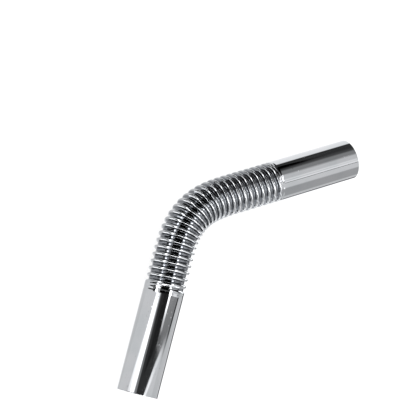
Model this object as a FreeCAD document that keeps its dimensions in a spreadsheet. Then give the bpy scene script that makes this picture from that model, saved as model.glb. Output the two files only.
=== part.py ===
import FreeCAD, Part
import math
import os

from FreeCAD import Placement, Rotation, Vector

# A chrome-plated brass waste pipe that is bent by hand. It is one piece of tube: two plain ends, and between them
# a length with a single helical groove that lets the tube bend. It lies flat, with its bend level.

# Sizes, in millimetres, degrees and turns of the groove
SIZES = (
    ("outer_diameter", 32.0, "outside of the plain ends and of the ridges"),
    ("wall", 0.6, "wall thickness"),
    ("rim_bevel", 0.15, "bevel round the open rims"),
    ("long_end", 82.15, "from the long end's open rim to where the groove starts"),
    ("short_end", 69.5, "from where the groove stops to the short end's open rim"),
    ("groove_pitch", 5.4, "from ridge to ridge where the pipe is straight"),
    ("groove_turns", 27.75, "turns of the groove, with its run-in and run-out"),
    ("groove_depth", 2.2, "from the ridges down to the groove's floor"),
    ("floor_width", 2.7, "flat floor of the groove, along the pipe"),
    ("run_in_turns", 1.0, "turns over which the groove comes to its full depth"),
    ("start_angle", -11.0, "where the groove starts, from the bend's outer side up over the top"),
    ("bend_angle", 60.0, "angle that the pipe turns through"),
    ("tight_angle", 43.5, "share of that angle in the tight middle of the bend"),
    ("tight_radius", 47.0, "radius of the centreline in the middle of the bend"),
    ("easy_radius", 119.0, "radius of the centreline on each side of it"),
    ("bend_place", 60.85, "from the groove's start to the middle of the bend"),
    ("bend_crowding", 8.6, "length by which bending has pushed the ridges together"),
    ("collar", 2.0, "plain tube between the last ridge and the joint"),
)

POINTS_PER_TURN = 16
OVERRUN = 0.125
SEWING_GAP = 0.001

doc = FreeCAD.newDocument("CorrugatedPipe")
sheet = doc.addObject("Spreadsheet::Sheet", "Sizes")
for row, (alias, number, meaning) in enumerate(SIZES, start=1):
    sheet.set("A%d" % row, alias)
    sheet.set("B%d" % row, str(number))
    sheet.set("C%d" % row, meaning)
    sheet.setAlias("B%d" % row, alias)
doc.recompute()


def size(alias):
    return float(sheet.get(alias))


outer_radius = size("outer_diameter") / 2
pitch = size("groove_pitch")
turns_in_all = size("groove_turns")
start_angle = math.radians(size("start_angle"))
groove_start = size("long_end")
groove_end = groove_start + turns_in_all * pitch - size("bend_crowding")
total_length = groove_end + size("short_end")
long_joint = groove_start - pitch / 2 - size("collar")
short_joint = groove_end + pitch / 2 + size("collar")


# The centreline: straight, three arcs that meet smoothly, and straight again


class Stretch:
    """A length of centreline with one radius. It turns towards -Y; a straight stretch has no radius."""

    def __init__(self, name, start, length, place, turn, radius=None):
        self.name = name
        self.start = start
        self.length = length
        self.place = place
        self.turn = turn
        self.radius = radius

    def turn_at(self, distance):
        if self.radius is None:
            return self.turn
        return self.turn - (distance - self.start) / self.radius

    def hub(self):
        """The centre of the arc."""
        return self.place + Vector(math.sin(self.turn), -math.cos(self.turn), 0) * self.radius

    def point_at(self, distance):
        if self.radius is None:
            ahead = Vector(math.cos(self.turn), math.sin(self.turn), 0)
            return self.place + ahead * (distance - self.start)
        turn = self.turn_at(distance)
        return self.hub() + Vector(-math.sin(turn), math.cos(turn), 0) * self.radius


def lay_centreline():
    easy_turn = math.radians(size("bend_angle") - size("tight_angle")) / 2
    tight_turn = math.radians(size("tight_angle"))
    easy_length = easy_turn * size("easy_radius")
    tight_length = tight_turn * size("tight_radius")
    bend_start = groove_start + size("bend_place") - tight_length / 2 - easy_length
    bend_end = bend_start + 2 * easy_length + tight_length
    stretches = [Stretch("Straight", 0.0, bend_start, Vector(0, 0, 0), 0.0)]
    for name, length, radius in (
        ("BendIn", easy_length, size("easy_radius")),
        ("BendMiddle", tight_length, size("tight_radius")),
        ("BendOut", easy_length, size("easy_radius")),
        ("StraightOn", total_length - bend_end, None),
    ):
        start = stretches[-1].start + stretches[-1].length
        place = stretches[-1].point_at(start)
        turn = stretches[-1].turn_at(start)
        stretches.append(Stretch(name, start, length, place, turn, radius))
    return stretches


centreline = lay_centreline()


def stretch_at(distance):
    for stretch in centreline[:-1]:
        if distance < stretch.start + stretch.length:
            return stretch
    return centreline[-1]


def heading(distance):
    """Direction of the centreline, in radians from +X."""
    return stretch_at(distance).turn_at(distance)


def centre(distance):
    """Point of the centreline at this distance from the long end's open rim."""
    return stretch_at(distance).point_at(distance)


def frame_at(distance, forwards=True):
    """Placement at this distance along the centreline, with Z along the pipe."""
    turn = heading(distance)
    ahead = Vector(math.cos(turn), math.sin(turn), 0)
    return Placement(centre(distance), Rotation(Vector(0, 0, 1), ahead if forwards else ahead * -1))


def on_tube(distance, angle, radius):
    """Point at a radius from the centreline. The angle runs from the bend's outer side up over the top."""
    turn = heading(distance)
    outward = Vector(-math.sin(turn), math.cos(turn), 0)
    up = Vector(0, 0, 1)
    return centre(distance) + outward * (radius * math.cos(angle)) + up * (radius * math.sin(angle))


# The groove


def turns_at(distance):
    """Turns of the groove from its start to this distance. The ridges lie closer together in the bend."""
    bent = -heading(distance) / math.radians(size("bend_angle"))
    return (distance - groove_start + size("bend_crowding") * bent) / pitch


def distance_at(turns):
    """The distance along the centreline at which the groove has made this many turns."""
    low = 0.0
    high = total_length
    while high - low > 1e-7:
        middle = (low + high) / 2
        if turns_at(middle) < turns:
            low = middle
        else:
            high = middle
    return (low + high) / 2


def ease(share):
    share = min(max(share, 0.0), 1.0)
    return share * share * (3 - 2 * share)


def depth_at(turn):
    """Depth of the groove after this many of its turns: it runs in and out smoothly."""
    run = min(turn, turns_in_all - turn)
    return size("groove_depth") * ease(run / size("run_in_turns"))


def cut_turns(last):
    """Places, in turns, at which a line along the groove is cut: twice in each turn, once in line with its end."""
    share = turns_in_all - math.floor(turns_in_all)
    if share < 1e-6:
        share = 0.5
    cuts = [whole + part for whole in range(int(math.ceil(last)) + 1) for part in (0.0, share)]
    return [cut for cut in cuts if cut < last + 1e-6]


def groove_line(offset, at_floor, last):
    """A corner of the groove's section, drawn along its turns as one smooth curve and cut into edges."""
    cuts = cut_turns(last)
    turns = [-OVERRUN, -OVERRUN / 2, cuts[0]]
    marks = [2]
    for start, end in zip(cuts, cuts[1:]):
        steps = max(int(round((end - start) * POINTS_PER_TURN)), 2)
        turns += [start + (end - start) * i / steps for i in range(1, steps + 1)]
        marks.append(len(turns) - 1)
    turns += [turns[-1] + OVERRUN / 2, turns[-1] + OVERRUN]
    points = []
    for turn in turns:
        radius = outer_radius - depth_at(turn) if at_floor else outer_radius
        points.append(on_tube(distance_at(turn + offset / pitch), start_angle + 2 * math.pi * turn, radius))
    curve = Part.BSplineCurve()
    curve.interpolate(Points=points, Parameters=turns)
    edges = []
    for start, end in zip(marks, marks[1:]):
        piece = curve.copy()
        piece.segment(turns[start], turns[end])
        edges.append(piece.toShape())
    return edges


def ring(distance, turns):
    """A circle round the pipe, in arcs that are cut where the groove's lines are cut."""

    def place(turn):
        return on_tube(distance, start_angle + 2 * math.pi * turn, outer_radius)

    return [
        Part.Arc(place(start), place((start + end) / 2), place(end)).toShape()
        for start, end in zip(turns, turns[1:])
    ]


def strip(lower, upper):
    """Ruled faces between two lines that are cut at the same places."""
    return [Part.makeRuledSurface(low, high) for low, high in zip(lower, upper)]


def make_corrugation():
    """The outside of the corrugated length as one solid, from joint to joint.

    One ridge line winds from end to end, and the groove's floor lies between two lines of its own. Each ridge is
    the crest where a groove's front flank meets the back flank of the next turn.
    """
    cuts = cut_turns(turns_in_all)
    ridge = groove_line(-pitch / 2, False, turns_in_all + 1)
    floor_back = groove_line(-size("floor_width") / 2, True, turns_in_all)
    floor_front = groove_line(size("floor_width") / 2, True, turns_in_all)
    long_ring = ring(long_joint, cuts[:3])
    short_ring = ring(short_joint, cuts[-3:])
    faces = strip(ridge, floor_back)
    faces += strip(floor_back, floor_front)
    faces += strip(floor_front, ridge[2:])
    faces += strip(long_ring, ridge[:2])
    faces += strip(ridge[-2:], short_ring)
    faces += [Part.Face(Part.Wire(long_ring)), Part.Face(Part.Wire(short_ring))]
    shell = Part.makeCompound(faces)
    shell.sewShape(SEWING_GAP)
    return Part.makeSolid(shell.Shells[0])


corrugation = doc.addObject("Part::Feature", "Corrugation")
corrugation.Shape = make_corrugation()


# The plain ends

TUBE_RADIUS = "Sizes.outer_diameter / 2"
BORE_RADIUS = TUBE_RADIUS + " - Sizes.wall"
NECK_RADIUS = BORE_RADIUS + " - Sizes.groove_depth"
TO_RIDGE = " - Sizes.groove_pitch / 2"


def straight(name, radius, length, placement):
    rod = doc.addObject("Part::Cylinder", name)
    rod.setExpression("Radius", radius)
    rod.setExpression("Height", length)
    rod.Placement = placement
    return rod


def plain_end(name, length, rim):
    """A plain end's outside, from its open rim to the joint, with the rim bevelled."""
    rod = straight(name + "Rod", TUBE_RADIUS, length + TO_RIDGE + " - Sizes.collar", rim)
    doc.recompute()
    rims = [
        number
        for number, edge in enumerate(rod.Shape.Edges, start=1)
        if edge.isClosed() and (edge.CenterOfMass - rim.Base).Length < outer_radius / 2
    ]
    end = doc.addObject("Part::Chamfer", name)
    end.Base = rod
    end.Edges = [(number, size("rim_bevel"), size("rim_bevel")) for number in rims]
    return end


# The bore: wide in the plain ends, and narrowed to clear the groove's floor by the wall in between


def neck(name, rim_side, forwards):
    """The cone by which the bore narrows as the groove runs in. It starts at the ridge nearest the plain end."""
    cone = doc.addObject("Part::Cone", name)
    cone.setExpression("Radius1", BORE_RADIUS)
    cone.setExpression("Radius2", NECK_RADIUS)
    cone.setExpression("Height", "Sizes.groove_pitch * (1 + Sizes.run_in_turns) / 2")
    cone.Placement = frame_at(rim_side, forwards)
    return cone


def bent(stretch):
    """A bent length of the bore. It is swept back from its far end, round the arc's hub."""
    far_turn = stretch.turn_at(stretch.start + stretch.length)
    elbow = doc.addObject("Part::Torus", stretch.name)
    elbow.setExpression("Radius2", NECK_RADIUS)
    elbow.Radius1 = stretch.radius
    elbow.Angle3 = math.degrees(stretch.turn - far_turn)
    elbow.Placement = Placement(stretch.hub(), Rotation(Vector(0, 0, 1), 90 + math.degrees(far_turn)))
    return elbow


long_rim = frame_at(0.0)
short_rim = frame_at(total_length, forwards=False)
long_ridge = groove_start - pitch / 2
short_ridge = groove_end + pitch / 2
neck_length = pitch * (1 + size("run_in_turns")) / 2

outside = doc.addObject("Part::MultiFuse", "Outside")
outside.Shapes = [
    plain_end("LongEnd", "Sizes.long_end", long_rim),
    corrugation,
    plain_end("ShortEnd", "Sizes.short_end", short_rim),
]


def throat(name, start, end):
    """A straight length of the narrow bore, between two distances along the centreline."""
    rod = doc.addObject("Part::Cylinder", name)
    rod.setExpression("Radius", NECK_RADIUS)
    rod.Height = end - start
    rod.Placement = frame_at(start)
    return rod


bore = doc.addObject("Part::MultiFuse", "Bore")
bore.Shapes = [
    straight("LongBore", BORE_RADIUS, "Sizes.long_end" + TO_RIDGE, long_rim),
    neck("LongNeck", long_ridge, True),
    throat("LongThroat", long_ridge + neck_length, centreline[1].start),
    bent(centreline[1]),
    bent(centreline[2]),
    bent(centreline[3]),
    throat("ShortThroat", centreline[4].start, short_ridge - neck_length),
    neck("ShortNeck", short_ridge, False),
    straight("ShortBore", BORE_RADIUS, "Sizes.short_end" + TO_RIDGE, short_rim),
]

# The whole pipe is one piece, and rests on the ground with the middle of its outline over the origin

pipe = doc.addObject("Part::Cut", "CorrugatedPipe")
pipe.Label = "corrugated_pipe"
pipe.Base = outside
pipe.Tool = bore
doc.recompute()
outline = pipe.Shape.optimalBoundingBox(False)
pipe.Placement = Placement(Vector(-outline.Center.x, -outline.Center.y, -outline.ZMin), Rotation())
doc.recompute()

for item in doc.Objects:
    if "Invalid" in item.State or "Error" in item.State:
        raise RuntimeError("%s did not build" % item.Label)
if pipe.Shape.isNull() or not pipe.Shape.isValid() or len(pipe.Shape.Solids) != 1:
    raise RuntimeError("the pipe is not one sound solid")

os.makedirs("parts", exist_ok=True)
pipe.Shape.exportStep("parts/%s.step" % pipe.Label)

long_place = pipe.Placement.multVec(centre(0.0))
short_place = pipe.Placement.multVec(centre(total_length))
print("volume %.0f mm3, centreline %.2f mm" % (pipe.Shape.Volume, total_length))
print("rims at %.4f, %.4f and %.4f, %.4f" % (long_place.x, long_place.y, short_place.x, short_place.y))
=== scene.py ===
"""A chrome-plated brass waste pipe, bent by hand, lying on a pale studio floor."""

import math

import bmesh
import bpy
from mathutils import Euler, Matrix, Vector


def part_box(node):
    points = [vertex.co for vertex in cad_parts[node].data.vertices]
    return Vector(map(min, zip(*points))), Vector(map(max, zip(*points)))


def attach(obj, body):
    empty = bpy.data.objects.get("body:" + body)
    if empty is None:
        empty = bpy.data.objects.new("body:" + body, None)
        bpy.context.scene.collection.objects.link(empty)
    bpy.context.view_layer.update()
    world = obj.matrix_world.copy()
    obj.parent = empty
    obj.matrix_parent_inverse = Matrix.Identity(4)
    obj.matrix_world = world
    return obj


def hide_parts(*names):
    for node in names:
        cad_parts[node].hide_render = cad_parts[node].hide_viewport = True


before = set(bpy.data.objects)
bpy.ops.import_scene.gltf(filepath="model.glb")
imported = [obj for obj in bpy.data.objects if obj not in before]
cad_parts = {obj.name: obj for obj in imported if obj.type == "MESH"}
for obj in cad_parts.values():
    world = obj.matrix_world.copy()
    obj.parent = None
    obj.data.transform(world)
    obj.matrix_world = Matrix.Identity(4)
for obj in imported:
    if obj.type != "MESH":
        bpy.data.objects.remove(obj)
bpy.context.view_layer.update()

MM = 0.001

# The tube and its groove, in metres, turns and radians
TUBE_RADIUS = 16.0 * MM
WALL = 0.6 * MM
RIM_RADIUS = 0.15 * MM
LONG_END = 82.15 * MM
SHORT_END = 69.5 * MM
PITCH = 5.4 * MM
GROOVE_TURNS = 27.75
GROOVE_DEPTH = 2.2 * MM
RUN_IN_TURNS = 0.7
START_ANGLE = math.radians(-11.0)
RIDGE_RADIUS = 1.25 * MM
FOOT_RADIUS = 0.45 * MM
FLANK_SLOPE = math.radians(65.0)

# The square shoulders that close the groove at both ends, in turns, and the shallow neck outside each
FIRST_SHOULDER = -0.25
LAST_SHOULDER = 27.03
SHOULDER_TURNS = 0.3
NECK_DEPTH = 0.12 * MM
NECK_FALL = 0.8 * MM
NECK_LENGTH = 2.6 * MM

# The bend, which hand bending has spread smoothly over part of the corrugated length
BEND_ANGLE = math.radians(60.0)
BEND_START = 97.0 * MM
BEND_LENGTH = 92.0 * MM
BEND_CROWDING = 8.6 * MM

# A row of the corrugated skin crosses one turn of the groove, this many turns to either side of its middle.
# So the skin goes on for as many turns beyond the groove at both ends
HALF_ROW = 0.5
PLAIN_LONG_END = LONG_END - HALF_ROW * PITCH
PLAIN_SHORT_END = SHORT_END - HALF_ROW * PITCH

# How finely the skin is divided: points round the tube, and steps of each rounding
POINTS_ROUND = 92
CENTRES_PER_TURN = 60
CENTRE_STEP = 0.02 * MM
RIDGE_STEPS = 5
FOOT_STEPS = 3
INNER_RIDGE_STEPS = 1
INNER_FOOT_STEPS = 2
RIM_STEPS = 3
WELD_DISTANCE = 0.0004 * MM

# Where a section has points in between: on the groove's floor, as a share of its half width, and along a
# plain end, in rings that stand close together near the shoulder, where the tube draws in
FLOOR_POINT_SHARE = 0.28
SHOULDER_RINGS = [distance * MM for distance in (0.0, 0.6, 1.2, 1.8, 2.6, 3.6, 5.0)]
LAST_RING_IN_RIM_RADII = 3.0


def add_object(name, data):
    """A new object in the scene."""
    made = bpy.data.objects.new(name, data)
    bpy.context.scene.collection.objects.link(made)
    return made


# Laying out the centreline


def bent_share(distance):
    """How much of the bend lies behind this distance from the long end's rim, from 0 to 1."""
    share = min(max((distance - BEND_START) / BEND_LENGTH, 0.0), 1.0)
    return share - math.sin(2 * math.pi * share) / (2 * math.pi)


def turns_at(distance):
    """How many turns the groove has made at this distance. The bend crowds them a little."""
    return (distance - LONG_END + BEND_CROWDING * bent_share(distance)) / PITCH


def heading_at(distance):
    """How far the centreline has turned from the long end's own way, in radians."""
    return -BEND_ANGLE * bent_share(distance)


def ahead(distance):
    """The way the centreline runs at this distance."""
    heading = heading_at(distance)
    return Vector((math.cos(heading), math.sin(heading), 0.0))


def lay_centreline():
    """Points of the centreline at even steps of the groove's turns, with the way the tube heads at each.

    They run from the last plain ring before the groove to the first plain ring after it.
    """
    centres = []
    distance = PLAIN_LONG_END
    here = Vector((distance, 0.0, 0.0))
    count = round((GROOVE_TURNS + 2 * HALF_ROW) * CENTRES_PER_TURN)
    for index in range(count + 1):
        turn = index / CENTRES_PER_TURN - HALF_ROW
        while turns_at(distance + CENTRE_STEP) <= turn:
            here = here + ahead(distance + CENTRE_STEP / 2) * CENTRE_STEP
            distance += CENTRE_STEP
        turns_per_step = turns_at(distance + CENTRE_STEP) - turns_at(distance)
        left = (turn - turns_at(distance)) / turns_per_step * CENTRE_STEP
        centres.append((here + ahead(distance + left / 2) * left, heading_at(distance + left)))
    return centres


def middle_of_long_rim():
    """Where the long end's rim has its middle, in the box of the CAD solid."""
    low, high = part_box("corrugated_pipe")
    return Vector((low.x, high.y - TUBE_RADIUS, TUBE_RADIUS))


def place_centreline(centres):
    """Shifts the centreline so that the pipe lies in the box of its CAD solid."""
    laid_rim = centres[0][0] - Vector((PLAIN_LONG_END, 0.0, 0.0))
    shift = middle_of_long_rim() - laid_rim
    return [(point + shift, heading) for point, heading in centres]


def make_centreline(centres):
    """The centreline as an object for the node tree, with its heading kept at each point."""
    mesh = bpy.data.meshes.new("centreline")
    mesh.from_pydata([point for point, heading in centres], [], [])
    headings = mesh.attributes.new("heading", "FLOAT", "POINT")
    headings.data.foreach_set("value", [heading for point, heading in centres])
    return add_object("centreline", mesh)


# Reckoning in node trees


class Value:
    """A socket of a node tree that can be reckoned with like a number."""

    def __init__(self, tree, socket):
        self.tree = tree
        self.socket = socket

    def math(self, operation, *others):
        node = self.tree.nodes.new("ShaderNodeMath")
        node.operation = operation
        for slot, other in zip(node.inputs, (self, *others)):
            plug(self.tree, other, slot)
        return Value(self.tree, node.outputs[0])

    def __add__(self, other):
        return self.math("ADD", other)

    def __sub__(self, other):
        return self.math("SUBTRACT", other)

    def __mul__(self, other):
        return self.math("MULTIPLY", other)

    def __truediv__(self, other):
        return self.math("DIVIDE", other)

    def __neg__(self):
        return self.math("MULTIPLY", -1.0)


def plug(tree, source, slot):
    """Joins a value to a node's input, or sets the input to a plain number."""
    if isinstance(source, Value):
        tree.links.new(source.socket, slot)
    else:
        slot.default_value = source


def add_node(tree, kind, settings=None, **inputs):
    """Adds a node. An input is named as on the node, with _ for a space."""
    node = tree.nodes.new(kind)
    for name, setting in (settings or {}).items():
        setattr(node, name, setting)
    for name, source in inputs.items():
        plug(tree, source, node.inputs[name.replace("_", " ")])
    return node


def first(tree, node, name=None):
    """The node's first output, or the one of that name, as a value."""
    return Value(tree, node.outputs[name] if name else node.outputs[0])


def pick(tree, index, choices):
    """The choice of that number."""
    node = tree.nodes.new("GeometryNodeIndexSwitch")
    node.data_type = "FLOAT"
    while len(node.index_switch_items) < len(choices):
        node.index_switch_items.new()
    plug(tree, index, node.inputs["Index"])
    for number, choice in enumerate(choices):
        plug(tree, choice, node.inputs[str(number)])
    return first(tree, node)


def steady(tree, number):
    """A number as a value."""
    node = tree.nodes.new("ShaderNodeValue")
    node.outputs[0].default_value = number
    return first(tree, node)


def vector(tree, x, y, z):
    """Three values or numbers joined into one."""
    return first(tree, add_node(tree, "ShaderNodeCombineXYZ", X=x, Y=y, Z=z))


def vector_math(tree, operation, *sources):
    """One step of reckoning with vectors."""
    node = add_node(tree, "ShaderNodeVectorMath", {"operation": operation})
    for slot, source in zip(node.inputs, sources):
        plug(tree, source, slot)
    return first(tree, node)


def split(tree, source):
    """The three values of a vector."""
    node = add_node(tree, "ShaderNodeSeparateXYZ", Vector=source)
    return [Value(tree, socket) for socket in node.outputs]


def rounded_line(tree, across, down, radii, steps):
    """A line through corners, each rounded to its radius in that many steps."""
    index = first(tree, add_node(tree, "GeometryNodeInputIndex"))
    corners = add_node(tree, "GeometryNodeMeshLine", {"mode": "OFFSET"}, Count=len(across))
    placed = add_node(tree, "GeometryNodeSetPosition", Geometry=first(tree, corners),
                      Position=vector(tree, pick(tree, index, across), pick(tree, index, down), 0.0))
    line = add_node(tree, "GeometryNodeMeshToCurve", Mesh=first(tree, placed))
    rounded = add_node(tree, "GeometryNodeFilletCurve", {"mode": "POLY"}, Curve=first(tree, line),
                       Radius=pick(tree, index, radii), Count=pick(tree, index, steps))
    return first(tree, rounded)


def wave_section(tree, size, inside):
    """One turn of the wall's section from ridge to ridge, measured along the tube and down from a ridge."""
    half_slope = (size["Flank slope"] / 2.0).math("TANGENT")
    shrink = size["Wall"] if inside else 0.0
    ridge_radius = size["Ridge radius"] - shrink
    foot_radius = size["Foot radius"] + shrink
    to_ridge_corner = ridge_radius * half_slope
    across_flank = size["Groove depth"] / size["Flank slope"].math("TANGENT")
    ridge_middle = size["Pitch"] / 2.0
    ridge_corner = ridge_middle - to_ridge_corner
    foot_corner = ridge_corner - across_flank
    floor_point = foot_corner * FLOOR_POINT_SHARE
    depth = size["Groove depth"]
    ridge_steps = INNER_RIDGE_STEPS if inside else size["Ridge steps"]
    foot_steps = INNER_FOOT_STEPS if inside else size["Foot steps"]
    return rounded_line(
        tree,
        across=[-ridge_middle, -ridge_corner, -foot_corner, -floor_point,
                floor_point, foot_corner, ridge_corner, ridge_middle],
        down=[0.0, 0.0, depth, depth, depth, depth, 0.0, 0.0],
        radii=[0.0, ridge_radius, foot_radius, 0.0, 0.0, foot_radius, ridge_radius, 0.0],
        steps=[1, ridge_steps, foot_steps, 1, 1, foot_steps, ridge_steps, 1],
    )


def count_points(tree, line):
    """How many points a line has."""
    node = add_node(tree, "GeometryNodeAttributeDomainSize", {"component": "CURVE"}, Geometry=line)
    return first(tree, node, "Point Count")


def look_up(tree, geometry, source, index, kind="FLOAT_VECTOR"):
    """The source's value at that point of a geometry."""
    node = add_node(tree, "GeometryNodeSampleIndex", {"data_type": kind, "clamp": True},
                    Geometry=geometry, Index=index)
    plug(tree, source, node.inputs["Value"])
    return first(tree, node)


def sheet(tree, columns, rows):
    """A flat sheet of faces. Returns it with the column and row number of each of its points."""
    grid = add_node(tree, "GeometryNodeMeshGrid", Size_X=columns - 1.0, Size_Y=rows - 1.0,
                    Vertices_X=columns, Vertices_Y=rows)
    x, y, z = split(tree, first(tree, add_node(tree, "GeometryNodeInputPosition")))
    column = (x + (columns - 1.0) / 2.0).math("ROUND")
    row = (y + (rows - 1.0) / 2.0).math("ROUND")
    return first(tree, grid, "Mesh"), column, row


def tube_frame(tree, spine, turn):
    """The centreline's point and heading after this many turns of the groove."""
    place = (turn + HALF_ROW) * CENTRES_PER_TURN
    near = place.math("FLOOR")
    share = place - near
    position = first(tree, add_node(tree, "GeometryNodeInputPosition"))
    named = add_node(tree, "GeometryNodeInputNamedAttribute", {"data_type": "FLOAT"}, Name="heading")
    points = []
    headings = []
    for step in (0.0, 1.0):
        points.append(look_up(tree, spine, position, near + step))
        headings.append(look_up(tree, spine, first(tree, named), near + step, "FLOAT"))
    step_ahead = vector_math(tree, "SUBTRACT", points[1], points[0])
    point = vector_math(tree, "MULTIPLY_ADD", step_ahead, vector(tree, share, share, share), points[0])
    heading = headings[0] + (headings[1] - headings[0]) * share
    return point, heading


def fade(source, low, high):
    """Rises smoothly from 0 to 1 while the source goes from low to high."""
    share = ((source - low) / (high - low)).math("MAXIMUM", 0.0).math("MINIMUM", 1.0)
    return share * share * (-(share * 2.0) + 3.0)


def neck_at(size, place):
    """How far the tube draws in just outside a shoulder, at a place counted in turns."""
    before = (size["First shoulder"] - place) * size["Pitch"]
    after = (place - size["Last shoulder"]) * size["Pitch"]
    beyond = before.math("MAXIMUM", after)
    return size["Neck depth"] * fade(beyond, 0.0, size["Neck fall"]) * (
        -fade(beyond, size["Neck fall"], size["Neck length"]) + 1.0)


def wrap(tree, size, mesh, centre, heading, along, radius, angle, turns_along):
    """Sets a sheet's points round the tube: so far along from a centre, at a radius and an angle.

    Each point also keeps where it would lie if the tube was straight, for finishes that run with the tube,
    and how deep in the groove it lies.
    """
    x, y, z = split(tree, centre)
    sunk = (size["Tube radius"] - radius) / size["Groove depth"]
    radius = radius - neck_at(size, turns_along)
    outward = radius * angle.math("COSINE")
    ahead_x = heading.math("COSINE")
    ahead_y = heading.math("SINE")
    place = vector(tree,
                   x + ahead_x * along - ahead_y * outward,
                   y + ahead_y * along + ahead_x * outward,
                   z + radius * angle.math("SINE"))
    tube_length = size["Long end"] + (turns_along + HALF_ROW) * size["Pitch"]
    straight = vector(tree, tube_length, outward, radius * angle.math("SINE"))
    marked = keep(tree, mesh, "straight_place", "FLOAT_VECTOR", straight)
    marked = keep(tree, marked, "sunk", "FLOAT", sunk)
    return first(tree, add_node(tree, "GeometryNodeSetPosition", Geometry=marked, Position=place))


def keep(tree, mesh, name, kind, source):
    """Stores a value on each point of a mesh."""
    settings = {"data_type": kind, "domain": "POINT"}
    node = add_node(tree, "GeometryNodeStoreNamedAttribute", settings, Geometry=mesh, Name=name, Value=source)
    return first(tree, node)


def grooved_skin(tree, size, spine, inside):
    """One skin of the corrugated length. Its rows of points follow the groove round the tube.

    A row crosses one turn of the groove, from ridge to ridge. Before the first turn and after the last, the
    rows shorten to nothing along a plain ring, so that the skin ends square.
    """
    section = wave_section(tree, size, inside)
    columns = count_points(tree, section)
    round_tube = size["Points round"]
    turns = size["Groove turns"]
    rows = (turns + 4.0 * HALF_ROW) * round_tube + 1.0
    mesh, column, row = sheet(tree, columns, rows)
    position = first(tree, add_node(tree, "GeometryNodeInputPosition"))
    across, down, unused = split(tree, look_up(tree, section, position, column))
    turn = row / round_tube - 2.0 * HALF_ROW
    low = (turn - HALF_ROW).math("MAXIMUM", -HALF_ROW)
    high = (turn + HALF_ROW).math("MINIMUM", turns + HALF_ROW)
    place = low + (across / size["Pitch"] + HALF_ROW) * (high - low)
    deepened = (fade(turn.math("MINIMUM", turns - turn), 0.0, size["Run-in turns"])
                * fade(place, size["First shoulder"], size["First shoulder"] + size["Shoulder turns"])
                * fade(-place, -size["Last shoulder"], size["Shoulder turns"] - size["Last shoulder"]))
    skin_radius = size["Tube radius"] - size["Wall"] if inside else size["Tube radius"]
    radius = skin_radius - down * deepened
    angle = size["Start angle"] + turn * (2 * math.pi)
    centre, heading = tube_frame(tree, spine, place)
    return wrap(tree, size, mesh, centre, heading, 0.0, radius, angle, place)


def plain_end(tree, size, spine, length, at_start):
    """A plain end: its outside, its rounded rim and its inside."""
    rim_radius = size["Rim radius"]
    outside = size["Tube radius"]
    inside = outside - size["Wall"]
    last_ring = length - rim_radius * LAST_RING_IN_RIM_RADII
    rings = [*SHOULDER_RINGS, length / 2.0, last_ring]
    section = rounded_line(
        tree,
        across=[*rings, length, length, *reversed(rings)],
        down=[outside] * (len(rings) + 1) + [inside] * (len(rings) + 1),
        radii=[0.0] * len(rings) + [rim_radius, rim_radius] + [0.0] * len(rings),
        steps=[1] * len(rings) + [RIM_STEPS, RIM_STEPS] + [1] * len(rings),
    )
    round_tube = size["Points round"]
    mesh, column, row = sheet(tree, count_points(tree, section), round_tube + 1.0)
    position = first(tree, add_node(tree, "GeometryNodeInputPosition"))
    along, radius, unused = split(tree, look_up(tree, section, position, column))
    angle = size["Start angle"] + row / round_tube * (2 * math.pi)
    if at_start:
        edge = steady(tree, -HALF_ROW)
        along = -along
    else:
        edge = size["Groove turns"] + HALF_ROW
    centre, heading = tube_frame(tree, spine, edge)
    return wrap(tree, size, mesh, centre, heading, along, radius, angle, edge + along / size["Pitch"])


PIPE_SIZES = (
    ("Tube radius", "NodeSocketFloat", TUBE_RADIUS),
    ("Wall", "NodeSocketFloat", WALL),
    ("Rim radius", "NodeSocketFloat", RIM_RADIUS),
    ("Long end", "NodeSocketFloat", PLAIN_LONG_END),
    ("Short end", "NodeSocketFloat", PLAIN_SHORT_END),
    ("Pitch", "NodeSocketFloat", PITCH),
    ("Groove turns", "NodeSocketFloat", GROOVE_TURNS),
    ("Groove depth", "NodeSocketFloat", GROOVE_DEPTH),
    ("Run-in turns", "NodeSocketFloat", RUN_IN_TURNS),
    ("Start angle", "NodeSocketFloat", START_ANGLE),
    ("First shoulder", "NodeSocketFloat", FIRST_SHOULDER),
    ("Last shoulder", "NodeSocketFloat", LAST_SHOULDER),
    ("Shoulder turns", "NodeSocketFloat", SHOULDER_TURNS),
    ("Neck depth", "NodeSocketFloat", NECK_DEPTH),
    ("Neck fall", "NodeSocketFloat", NECK_FALL),
    ("Neck length", "NodeSocketFloat", NECK_LENGTH),
    ("Ridge radius", "NodeSocketFloat", RIDGE_RADIUS),
    ("Foot radius", "NodeSocketFloat", FOOT_RADIUS),
    ("Flank slope", "NodeSocketFloat", FLANK_SLOPE),
    ("Ridge steps", "NodeSocketInt", RIDGE_STEPS),
    ("Foot steps", "NodeSocketInt", FOOT_STEPS),
    ("Points round", "NodeSocketInt", POINTS_ROUND),
)


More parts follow.
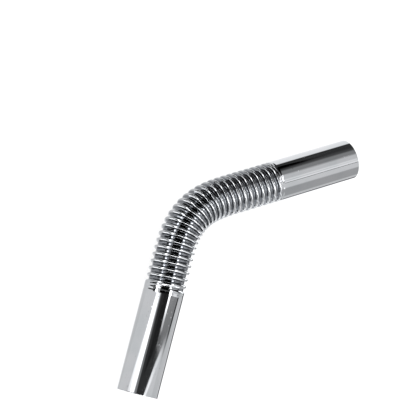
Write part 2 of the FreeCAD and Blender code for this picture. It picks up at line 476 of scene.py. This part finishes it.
def pipe_tree():
    """The node tree that makes the pipe from its sizes and its centreline."""
    tree = bpy.data.node_groups.new("Corrugated pipe", "GeometryNodeTree")
    tree.interface.new_socket("Geometry", in_out="INPUT", socket_type="NodeSocketGeometry")
    tree.interface.new_socket("Centreline", in_out="INPUT", socket_type="NodeSocketObject")
    tree.interface.new_socket("Material", in_out="INPUT", socket_type="NodeSocketMaterial")
    for name, kind, number in PIPE_SIZES:
        socket = tree.interface.new_socket(name, in_out="INPUT", socket_type=kind)
        socket.default_value = number
    tree.interface.new_socket("Geometry", in_out="OUTPUT", socket_type="NodeSocketGeometry")
    entry = tree.nodes.new("NodeGroupInput")
    size = {name: Value(tree, entry.outputs[name]) for name, kind, number in PIPE_SIZES}
    line = add_node(tree, "GeometryNodeObjectInfo", {"transform_space": "ORIGINAL"},
                    Object=Value(tree, entry.outputs["Centreline"]))
    spine = first(tree, line, "Geometry")
    joined = tree.nodes.new("GeometryNodeJoinGeometry")
    for part in (
        grooved_skin(tree, size, spine, inside=False),
        grooved_skin(tree, size, spine, inside=True),
        plain_end(tree, size, spine, size["Long end"], at_start=True),
        plain_end(tree, size, spine, size["Short end"], at_start=False),
    ):
        tree.links.new(part.socket, joined.inputs[0])
    welded = add_node(tree, "GeometryNodeMergeByDistance",
                      Geometry=first(tree, joined), Distance=WELD_DISTANCE)
    smooth = add_node(tree, "GeometryNodeSetShadeSmooth", Geometry=first(tree, welded))
    real = add_node(tree, "GeometryNodeRealizeInstances", Geometry=first(tree, smooth))
    plated = add_node(tree, "GeometryNodeSetMaterial", Geometry=first(tree, real),
                      Material=Value(tree, entry.outputs["Material"]))
    leave = tree.nodes.new("NodeGroupOutput")
    tree.links.new(plated.outputs[0], leave.inputs[0])
    return tree


def make_pipe(material):
    """The pipe as one plain mesh, made by its node tree."""
    tree = pipe_tree()
    line = make_centreline(place_centreline(lay_centreline()))
    seed = add_object("pipe_seed", bpy.data.meshes.new("pipe_seed"))
    maker = seed.modifiers.new("Corrugated pipe", "NODES")
    maker.node_group = tree
    given = {"Centreline": line, "Material": material}
    given.update((name, number) for name, kind, number in PIPE_SIZES)
    for socket in tree.interface.items_tree:
        if socket.in_out == "INPUT" and socket.name in given:
            maker[socket.identifier] = given[socket.name]
    bpy.context.view_layer.update()
    made = seed.evaluated_get(bpy.context.evaluated_depsgraph_get())
    mesh = bpy.data.meshes.new_from_object(made)
    seed.modifiers.remove(maker)
    bpy.data.objects.remove(seed)
    bpy.data.objects.remove(line)
    shell = bmesh.new()
    shell.from_mesh(mesh)
    bmesh.ops.recalc_face_normals(shell, faces=shell.faces)
    shell.to_mesh(mesh)
    shell.free()
    mesh.name = "chromed_pipe"
    return add_object("chromed_pipe", mesh)


# Finishes

# Colours of the chrome: clear, under a cloud of haze, and a painted shade down in the groove, which darkens
# the recess where shade falls
CLEAR_CHROME = (0.62, 0.625, 0.635, 1.0)
CLOUDY_CHROME = (0.58, 0.595, 0.605, 1.0)
GROOVE_PAINTED_SHADE = (0.26, 0.27, 0.285, 1.0)

# Roughness of the polish, and what clouds, smears, pits and the groove add to it
POLISH = 0.02
CLOUD_HAZE = 0.03
SMEAR_HAZE = 0.035
PIT_HAZE = 0.15
GROOVE_HAZE = 0.02

# Relief of the chrome, in metres
WAVE_HEIGHT = 60e-6
DRAW_LINE_HEIGHT = 0.35e-6
PIT_DEPTH = 6e-6

# The floor: its colour, sheen and own light, and how far it reaches to each side, in metres
WHITE = (1.0, 1.0, 1.0, 1.0)
FLOOR_GREY = (0.30, 0.30, 0.30, 1.0)
FLOOR_SHEEN = 0.1
FLOOR_GLOW = 0.68
FLOOR_REACH = 6.0


def new_material(name):
    """A new material, with its node tree and its shader."""
    material = bpy.data.materials.new(name)
    material.use_nodes = True
    return material, material.node_tree, material.node_tree.nodes["Principled BSDF"]


def texture(tree, kind, coordinates, **settings):
    """A texture read at the given coordinates. A setting is named as on the node, with _ for a space."""
    node = tree.nodes.new(kind)
    tree.links.new(coordinates, node.inputs["Vector"])
    for name, setting in settings.items():
        node.inputs[name.replace("_", " ")].default_value = setting
    return node


def stretch(tree, coordinates, scale):
    """Coordinates scaled by one amount along the tube and by others across it."""
    node = tree.nodes.new("ShaderNodeMapping")
    tree.links.new(coordinates, node.inputs["Vector"])
    node.inputs["Scale"].default_value = scale
    return node.outputs[0]


def ramp(tree, source, low, high, to_low, to_high):
    """The source from low to high, turned smoothly into to_low to to_high."""
    node = tree.nodes.new("ShaderNodeMapRange")
    node.interpolation_type = "SMOOTHSTEP"
    for name, number in (("From Min", low), ("From Max", high), ("To Min", to_low), ("To Max", to_high)):
        node.inputs[name].default_value = number
    plug(tree, source, node.inputs["Value"])
    return first(tree, node, "Result")


def blend(tree, share, start, end):
    """A colour that goes from start to end with the share. Either may be a fixed colour or a value."""
    node = tree.nodes.new("ShaderNodeMix")
    node.data_type = "RGBA"
    plug(tree, share, node.inputs["Factor"])
    for slot, colour in (("A", start), ("B", end)):
        plug(tree, colour, node.inputs[slot])
    return first(tree, node, "Result")


def attribute(tree, name):
    """What each point of the mesh keeps under that name."""
    node = tree.nodes.new("ShaderNodeAttribute")
    node.attribute_name = name
    return node


def chrome_plate():
    """Bright chrome over polished brass, with faint waves, draw lines, polishing haze, small pits and painted
    shade down in the groove.
    """
    material, tree, finish = new_material("Chrome plate")
    place = attribute(tree, "straight_place").outputs["Vector"]
    sunk = first(tree, attribute(tree, "sunk"), "Fac")

    clouds = texture(tree, "ShaderNodeTexNoise", place, Scale=45.0, Detail=3.0, Roughness=0.55)
    cloud = first(tree, clouds, "Fac")
    pits = texture(tree, "ShaderNodeTexNoise", place, Scale=620.0, Detail=1.0, Roughness=0.4)
    pit = ramp(tree, first(tree, pits, "Fac"), 0.70, 0.78, 0.0, 1.0)
    smears = texture(tree, "ShaderNodeTexNoise", stretch(tree, place, (30.0, 160.0, 160.0)),
                     Scale=1.0, Detail=4.0, Roughness=0.6)
    smear = ramp(tree, first(tree, smears, "Fac"), 0.48, 0.72, 0.0, 1.0)

    plating = blend(tree, ramp(tree, cloud, 0.35, 0.65, 0.0, 1.0), CLOUDY_CHROME, CLEAR_CHROME)
    # Painted shade: the colour darkens towards the groove's floor, standing in for the shade that falls in
    # the recess.
    colour = blend(tree, ramp(tree, sunk, 0.1, 0.6, 0.0, 1.0), plating, GROOVE_PAINTED_SHADE)
    plug(tree, colour, finish.inputs["Base Color"])

    haze = (ramp(tree, cloud, 0.45, 0.75, 0.0, CLOUD_HAZE) + smear * SMEAR_HAZE + pit * PIT_HAZE
            + sunk * GROOVE_HAZE)
    plug(tree, haze + POLISH, finish.inputs["Roughness"])

    waves = texture(tree, "ShaderNodeTexNoise", stretch(tree, place, (22.0, 95.0, 95.0)),
                    Scale=1.0, Detail=2.0, Roughness=0.4)
    draw_lines = texture(tree, "ShaderNodeTexNoise", stretch(tree, place, (60.0, 2200.0, 2200.0)),
                         Scale=1.0, Detail=2.0, Roughness=0.5)
    height = (first(tree, waves, "Fac") * WAVE_HEIGHT + first(tree, draw_lines, "Fac") * DRAW_LINE_HEIGHT
              - pit * PIT_DEPTH)
    relief = add_node(tree, "ShaderNodeBump", Distance=1.0, Strength=1.0, Height=height)
    tree.links.new(relief.outputs["Normal"], finish.inputs["Normal"])
    finish.inputs["Metallic"].default_value = 1.0
    return material


def studio_floor():
    """Pale matt card. It gives off some light of its own, which keeps the tube's shadow faint."""
    material, tree, finish = new_material("Pale floor")
    coordinates = tree.nodes.new("ShaderNodeTexCoord")
    grain = texture(tree, "ShaderNodeTexNoise", coordinates.outputs["Object"], Scale=900.0, Detail=2.0)
    plug(tree, ramp(tree, first(tree, grain, "Fac"), 0.3, 0.7, 0.86, 0.92), finish.inputs["Roughness"])
    finish.inputs["Base Color"].default_value = FLOOR_GREY
    finish.inputs["Specular IOR Level"].default_value = FLOOR_SHEEN
    finish.inputs["Emission Color"].default_value = WHITE
    finish.inputs["Emission Strength"].default_value = FLOOR_GLOW
    return material


def make_floor():
    """A large flat floor, which the chrome doesn't mirror."""
    mesh = bpy.data.meshes.new("studio_floor")
    corners = [(-FLOOR_REACH, -FLOOR_REACH, 0), (FLOOR_REACH, -FLOOR_REACH, 0),
               (FLOOR_REACH, FLOOR_REACH, 0), (-FLOOR_REACH, FLOOR_REACH, 0)]
    mesh.from_pydata(corners, [], [(0, 1, 2, 3)])
    mesh.materials.append(studio_floor())
    floor = add_object("studio_floor", mesh)
    floor.visible_glossy = False


# Light and camera

# How bright the things are that the chrome mirrors
BLACK = 0.0
BLACK_CLOTH = 0.03
DARK_ROOM = 0.06
DUSK = 0.1
DIM_CARD = 0.31
GREY_CARD = 0.47
PALE_CARD = 0.77
WHITE_WALL = 1.0
BRIGHT_CARD = 1.4
SOFT_BOX = 2.1
STRIP_LAMP = 4.6

# What the chrome mirrors. Each row is a wall, a card, a cloth or a lamp, laid over those before it: its name,
# how far round the long end it hangs (0 beside the tube, 90 overhead), how far towards the bend, its width
# round the tube, its length along it, its slant, the softness of its edge and its brightness. The slant is in
# degrees round the tube for each degree along it, and the other measures are in degrees.
PANELS = (
    ("end of the room", 12, 76, 360, 40, 0, 8, DARK_ROOM),
    ("room at the left", -10, 60, 90, 42, 0, 6, DARK_ROOM),
    ("box high at the left", 14, 31, 50, 12, 0, 4, SOFT_BOX),
    ("cloth beside", -6, 8, 62, 26, 0, 3, BLACK_CLOTH),
    ("cloth beneath", 8, -10, 44, 20, 0, 3, BLACK),
    ("side of the room", 70, 44, 58, 96, 0, 4, BLACK),
    ("corner behind", -176, 52, 106, 32, 0, 8, BLACK_CLOTH),
    ("low corner", 158, 24, 50, 30, 0, 6, DARK_ROOM),
    ("wall behind", -111, 43, 40, 62, 0, 7, WHITE_WALL),
    ("top of the wall", 116, 62, 42, 22, 0, 12, DUSK),
    ("high on the wall", 114, 49, 38, 22, 0, 12, DIM_CARD),
    ("foot of the wall", 129, 8, 32, 17, 0, 9, WHITE_WALL),
    ("grey card behind", 166, -22, 54, 24, 0, 5, GREY_CARD),
    ("card before the wall", 130, -8, 36, 18, 0, 5, PALE_CARD),
    ("floor at the right", -114, -10, 50, 60, 0, 8, WHITE_WALL),
    ("cloth overhead", 74, -8, 70, 28, 0, 4, BLACK_CLOTH),
    ("strip lamp overhead", 76, -31, 54, 13, -1, 3, STRIP_LAMP),
    ("box at the right", 122, -31, 26, 22, 0, 5, SOFT_BOX),
    ("long cloth overhead", 62, -52, 90, 22, 0, 4, BLACK_CLOTH),
    ("box at the left", -24, -22, 42, 22, 0, 5, SOFT_BOX),
    ("cloth beside the box", 6, -20, 18, 44, 0, 3, BLACK_CLOTH),
    ("low dark card at the left", -74, -44, 34, 16, 0, 4, DUSK),
    ("box behind the rim", -8, -66, 52, 34, 0, 5, SOFT_BOX),
    ("low bright card", -102, -62, 32, 40, 0, 5, BRIGHT_CARD),
    ("low cloth", 52, -74, 42, 30, 0, 4, BLACK_CLOTH),
    ("cloth below the rim", -164, -74, 78, 28, 0, 4, BLACK_CLOTH),
    ("low box at the right", -172, -46, 66, 14, 0, 4, SOFT_BOX),
    ("left strip lamp, near end", 21, -27, 9, 22, 0, 3, STRIP_LAMP),
    ("left strip lamp, middle", 22, 9, 11, 14, 0, 3, STRIP_LAMP),
    ("left strip lamp, far end", 24, 26, 10, 20, 0, 3, STRIP_LAMP),
    ("pale card at the left", -28, 5, 60, 6, 0, 2, PALE_CARD),
    ("bright card over the tube", 18, -0.4, 34, 3.6, 0, 4, BRIGHT_CARD),
    ("box over the tube", 36, 0, 28, 4.6, 1, 4, SOFT_BOX),
    ("pale card beside the tube", -18, 0.5, 70, 5, 6.5, 1.5, PALE_CARD),
    ("cloth over the tube", 76, 1, 56, 16, 2, 12, BLACK_CLOTH),
    ("dim edge of the box", 52, -0.8, 12, 4.4, 0, 4, DIM_CARD),
    ("dark edge of the box", 63, -0.6, 14, 5, 0, 5, DARK_ROOM),
    ("right strip lamp, near end", 103, -20, 12, 26, 0, 3, STRIP_LAMP),
    ("right strip lamp, middle", 103, 9, 12, 14, 0, 3, STRIP_LAMP),
    ("right box, far end", 102, 28, 8, 20, 0, 3, SOFT_BOX),
    ("dim card at the right", 130, 1.5, 46, 2.2, 0, 1, DIM_CARD),
    ("bright edge of the cloth", 104, -1.3, 14, 1.8, 21, 3, BRIGHT_CARD),
    ("slanting dark edge", 91, -0.6, 36, 2.4, 21, 1.5, DARK_ROOM),
    ("thin dark edge", 158, 1.9, 9, 2.8, 3, 1.5, DARK_ROOM),
    ("dark post at the right", -151, 0, 12, 40, -0.5, 3, DARK_ROOM),
    ("box far at the right", -162, 30, 26, 32, 0, 4, SOFT_BOX),
)

# The room beyond them, the tint of all that is mirrored, and the soft light that falls on everything else
SURROUNDINGS = 0.70
MIRRORED_TINT = (0.98, 0.985, 1.0, 1.0)
SOFT_LIGHT = 1.08


def cover_of(tree, distance, length, softness):
    """1 within a panel's length and 0 outside, at a distance from its middle."""
    return ramp(tree, distance, (length - softness) / 2, (length + softness) / 2, 1.0, 0.0)


def mirrored_studio(tree):
    """How bright the studio is in each direction, as the chrome mirrors it."""
    coordinates = tree.nodes.new("ShaderNodeTexCoord")
    x, y, z = split(tree, Value(tree, coordinates.outputs["Generated"]))
    round_tube = z.math("ARCTAN2", y) * math.degrees(1)
    towards_bend = x.math("MINIMUM", 1.0).math("MAXIMUM", -1.0).math("ARCSINE") * math.degrees(1)
    seen = SURROUNDINGS
    for name, hung_round, hung_along, width, length, slant, softness, brightness in PANELS:
        beyond = towards_bend - hung_along
        aside = (round_tube - hung_round - beyond * slant).math("WRAP", 180.0, -180.0)
        cover = (cover_of(tree, aside.math("ABSOLUTE"), width, softness)
                 * cover_of(tree, beyond.math("ABSOLUTE"), length, softness))
        panel = add_node(tree, "ShaderNodeMix", {"label": name}, Factor=cover, A=seen, B=brightness)
        seen = first(tree, panel, "Result")
    return seen


def light_studio():
    """Soft white light all round, and for mirror reflections the studio's walls, cards, cloths and lamps."""
    world = bpy.data.worlds.new("Studio")
    bpy.context.scene.world = world
    world.use_nodes = True
    tree = world.node_tree
    tree.nodes.clear()
    soft = add_node(tree, "ShaderNodeBackground", Color=WHITE, Strength=SOFT_LIGHT)
    mirrored = add_node(tree, "ShaderNodeBackground", Color=MIRRORED_TINT, Strength=mirrored_studio(tree))
    path = tree.nodes.new("ShaderNodeLightPath")
    choice = tree.nodes.new("ShaderNodeMixShader")
    tree.links.new(path.outputs["Is Glossy Ray"], choice.inputs[0])
    tree.links.new(soft.outputs[0], choice.inputs[1])
    tree.links.new(mirrored.outputs[0], choice.inputs[2])
    leave = tree.nodes.new("ShaderNodeOutputWorld")
    tree.links.new(choice.outputs[0], leave.inputs["Surface"])
    bpy.context.scene.view_settings.view_transform = "Standard"
    bpy.context.scene.view_settings.look = "Medium High Contrast"


# The camera's place from the middle of the long end's rim, its turn in degrees, and its lens in millimetres
CAMERA_PLACE = Vector((30.290, 611.669, 1154.173)) * MM
CAMERA_TURN = (-2.447, -28.719, -73.555)
CAMERA_LENS = 153.95
CAMERA_SENSOR = 36.0


def set_camera():
    """The photograph's viewpoint, from above and to the side of the bend, far off with a long lens."""
    view = bpy.data.cameras.new("view")
    view.sensor_width = CAMERA_SENSOR
    view.lens = CAMERA_LENS
    camera = add_object("view", view)
    turn = Euler([math.radians(angle) for angle in CAMERA_TURN])
    camera.matrix_world = Matrix.Translation(middle_of_long_rim() + CAMERA_PLACE) @ turn.to_matrix().to_4x4()
    bpy.context.scene.camera = camera


pipe = make_pipe(chrome_plate())
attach(pipe, "root")
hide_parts("corrugated_pipe")
make_floor()
light_studio()
set_camera()

print("triangles", sum(len(face.vertices) - 2 for face in pipe.data.polygons))
